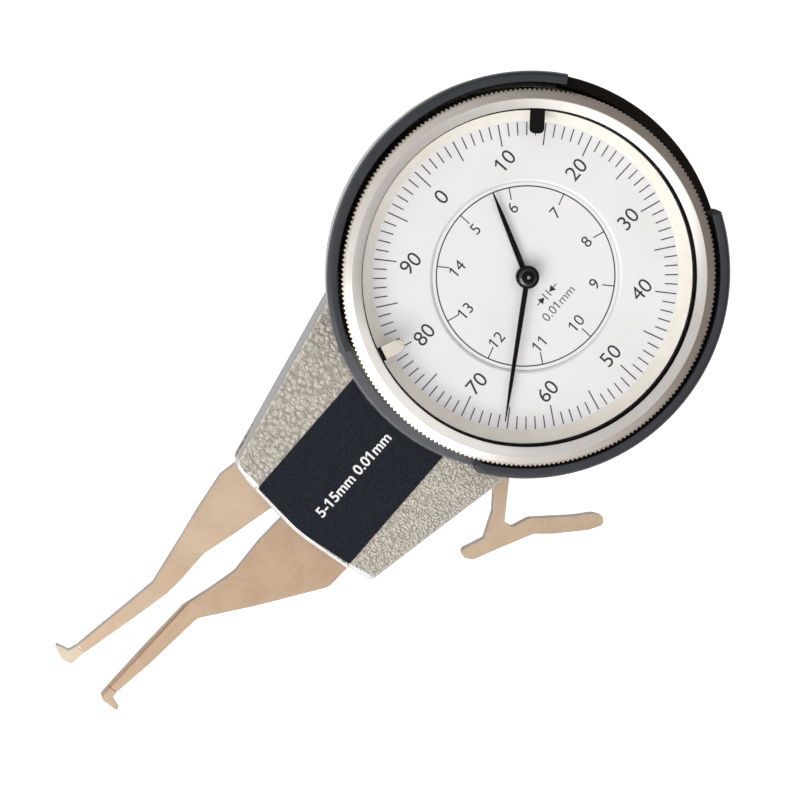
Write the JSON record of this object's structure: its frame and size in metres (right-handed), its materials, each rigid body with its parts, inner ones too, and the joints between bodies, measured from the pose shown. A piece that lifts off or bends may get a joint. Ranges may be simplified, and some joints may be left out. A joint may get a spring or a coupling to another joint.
{
  "type": "internal dial caliper gauge",
  "caption": "Hand gauge for bores and grooves: a fixed and a lever-driven moving finger with outward tips, a painted neck and a round dial with turning bezel.",
  "frame": {"origin": "on the dial axis, at the flat rear face of the rear cover", "axes": "+Z out of the dial face, +X from the measuring tips towards the dial end, +Y towards the dial's zero mark and the moving finger's side"},
  "size_m": [0.1359, 0.0747, 0.0217],
  "materials": {
    "housing_paint": "silver-beige hammertone lacquer on a die casting",
    "bumper_plastic": "dark grey moulded, fine matt grain",
    "label_film": "matt blue-black plate with white print",
    "blade_steel": "flat ground, satin, warm tone",
    "tip_metal": "ground bright",
    "small_steel": "turned",
    "spring_steel": "blued and drawn",
    "brass_movement": "fine-grained movement brass",
    "dial_face": "satin white with black printed scales",
    "spacer_cream": "glossy cream inner wall",
    "crystal_glass": "clear flat",
    "bezel_chrome": "satin chrome, knurled edge",
    "marker_dark": "matt black",
    "marker_pale": "cream",
    "hand_black": "black lacquered"
  },
  "bodies": {
    "housing": {"housing_front_shell": "housing_paint", "housing_rear_cover": "housing_paint", "bumper_ring": "bumper_plastic", "label_plate": "label_film", "fixed_arm": "blade_steel", "fixed_arm_tip": "tip_metal", "fixed_arm_dowel": "small_steel", "fixed_arm_screw_1": "small_steel", "fixed_arm_screw_2": "small_steel", "pivot_axle": "small_steel", "stop_pin_open": "small_steel", "stop_pin_closed": "small_steel", "spring_anchor_pin": "small_steel", "return_spring": "spring_steel", "hairspring": "spring_steel", "hairspring_stud": "brass_movement", "movement_plate_rear": "brass_movement", "movement_plate_front": "brass_movement", "inner_dial": "dial_face", "bezel_friction_spring": "spring_steel", "cover_screw_1": "small_steel", "cover_screw_2": "small_steel", "cover_screw_3": "small_steel", "cover_screw_4": "small_steel", "pillar_1": "brass_movement", "pillar_screw_1": "small_steel", "plate_screw_1": "small_steel", "pillar_2": "brass_movement", "pillar_screw_2": "small_steel", "plate_screw_2": "small_steel", "pillar_3": "brass_movement", "pillar_screw_3": "small_steel", "plate_screw_3": "small_steel"},
    "moving_arm": {"moving_arm": "blade_steel", "moving_arm_tip": "tip_metal", "pivot_bush": "brass_movement", "sector_gear": "brass_movement", "sector_screw_1": "small_steel", "sector_screw_2": "small_steel", "spring_drive_pin": "small_steel"},
    "first_arbor": {"first_pinion_arbor": "small_steel", "first_wheel": "brass_movement"},
    "centre_arbor": {"centre_pinion_arbor": "small_steel", "long_hand": "hand_black"},
    "take_up": {"take_up_arbor": "small_steel", "take_up_wheel": "brass_movement", "transfer_gear": "brass_movement"},
    "short_hand": {"short_hand_pipe_wheel": "brass_movement", "short_hand": "hand_black"},
    "bezel": {"bezel": "bezel_chrome", "crystal": "crystal_glass", "crystal_spacer_ring": "spacer_cream", "outer_dial_ring": "dial_face", "dial_retaining_ring": "spring_steel"},
    "dark_marker": {"tolerance_marker_dark": "marker_dark"},
    "pale_marker": {"tolerance_marker_pale": "marker_pale"}
  },
  "joints": [
    {"name": "arm_pivot", "type": "hinge", "parent": "housing", "child": "moving_arm", "pos_m": [-0.0447, 0, 0.0058], "axis": [0, 0, 1], "range_deg": [0, 11.1], "stiffness_Nm_per_rad": 0.1, "springref_deg": -31.51, "deforming": ["return_spring"]},
    {"name": "first_arbor_turn", "type": "hinge", "parent": "housing", "child": "first_arbor", "pos_m": [-0.00937, 0.00577, 0.009], "axis": [0, 0, 1], "range_deg": [-390, 1]},
    {"name": "centre_arbor_turn", "type": "hinge", "parent": "housing", "child": "centre_arbor", "pos_m": [0, 0, 0.0093], "axis": [0, 0, 1], "range_deg": [-5, 3870]},
    {"name": "take_up_turn", "type": "hinge", "parent": "housing", "child": "take_up", "pos_m": [0.00937, -0.00577, 0.009], "axis": [0, 0, 1], "range_deg": [-390, 1], "deforming": ["hairspring"]},
    {"name": "short_hand_turn", "type": "hinge", "parent": "housing", "child": "short_hand", "pos_m": [0, 0, 0.0109], "axis": [0, 0, 1], "range_deg": [-1, 390]},
    {"name": "bezel_turn", "type": "hinge", "parent": "housing", "child": "bezel", "pos_m": [0, 0, 0.018], "axis": [0, 0, 1], "continuous": true},
    {"name": "dark_marker_slide", "type": "hinge", "parent": "bezel", "child": "dark_marker", "pos_m": [0, 0, 0.0207], "axis": [0, 0, 1], "range_deg": [-55, 104]},
    {"name": "pale_marker_slide", "type": "hinge", "parent": "bezel", "child": "pale_marker", "pos_m": [0, 0, 0.0207], "axis": [0, 0, 1], "range_deg": [-104, 55]}
  ],
  "couplings": [
    {"joint": "first_arbor_turn", "follows": "arm_pivot", "ratio": -34.8},
    {"joint": "centre_arbor_turn", "follows": "arm_pivot", "ratio": 348},
    {"joint": "take_up_turn", "follows": "arm_pivot", "ratio": -34.8},
    {"joint": "short_hand_turn", "follows": "arm_pivot", "ratio": 34.8}
  ]
}
